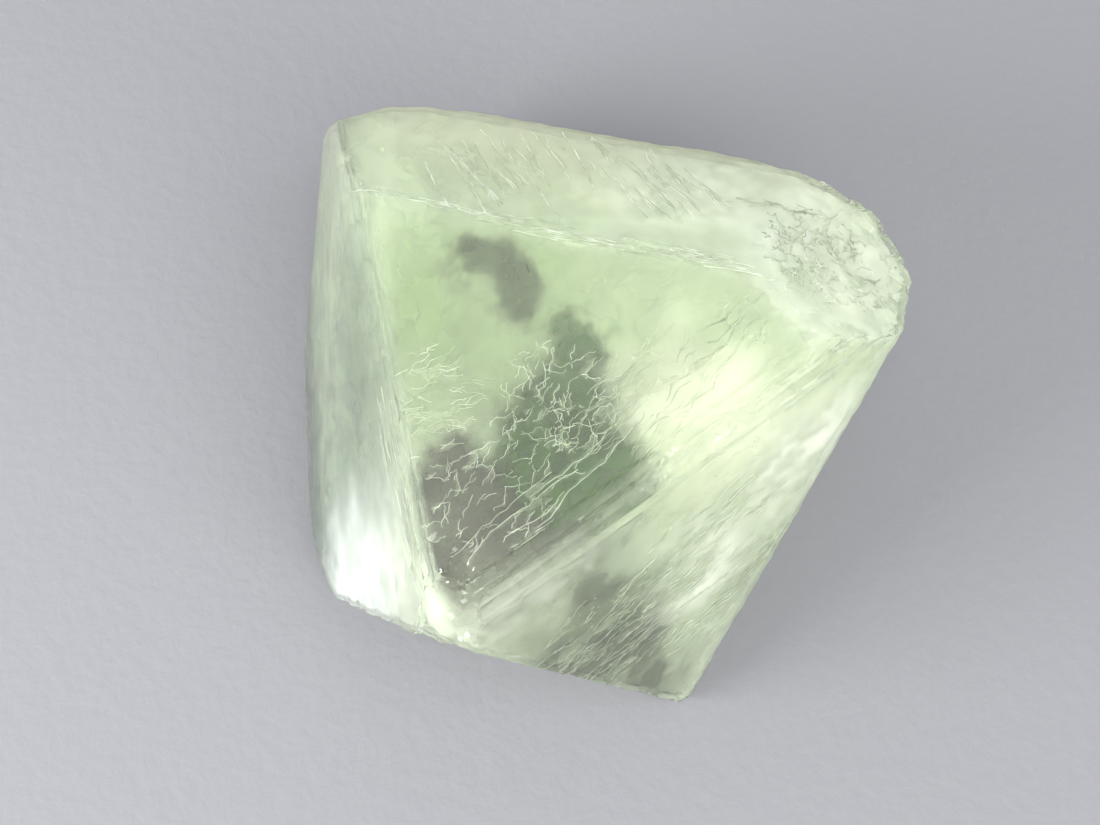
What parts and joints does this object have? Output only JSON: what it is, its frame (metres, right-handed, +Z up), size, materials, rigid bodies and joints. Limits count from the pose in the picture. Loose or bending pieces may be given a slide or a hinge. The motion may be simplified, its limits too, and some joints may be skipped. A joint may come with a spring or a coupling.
{
  "type": "fluorite octahedron",
  "caption": "Pale green, see-through fluorite cleavage octahedron with a bevelled back edge, a crushed corner and inner fractures, lying on a flat cleavage face.",
  "frame": {"origin": "on the resting cleavage face, under the middle of the stone's bounding box", "axes": "+Z up through the two parallel cleavage faces that are top and base, +Y towards the bevelled back edge, +X towards the crushed corner"},
  "size_m": [0.0516, 0.055, 0.031],
  "materials": {
    "crystal": "glassy cleavage faces with a frosted left side and a crushed, matt corner",
    "inner_fractures": "thin silvery and milky veils sealed inside the crystal",
    "inner_smoke": "soft grey-green and brown clouding sealed inside the crystal"
  },
  "bodies": {
    "root": {"fluorite_crystal": "crystal"}
  },
  "joints": []
}
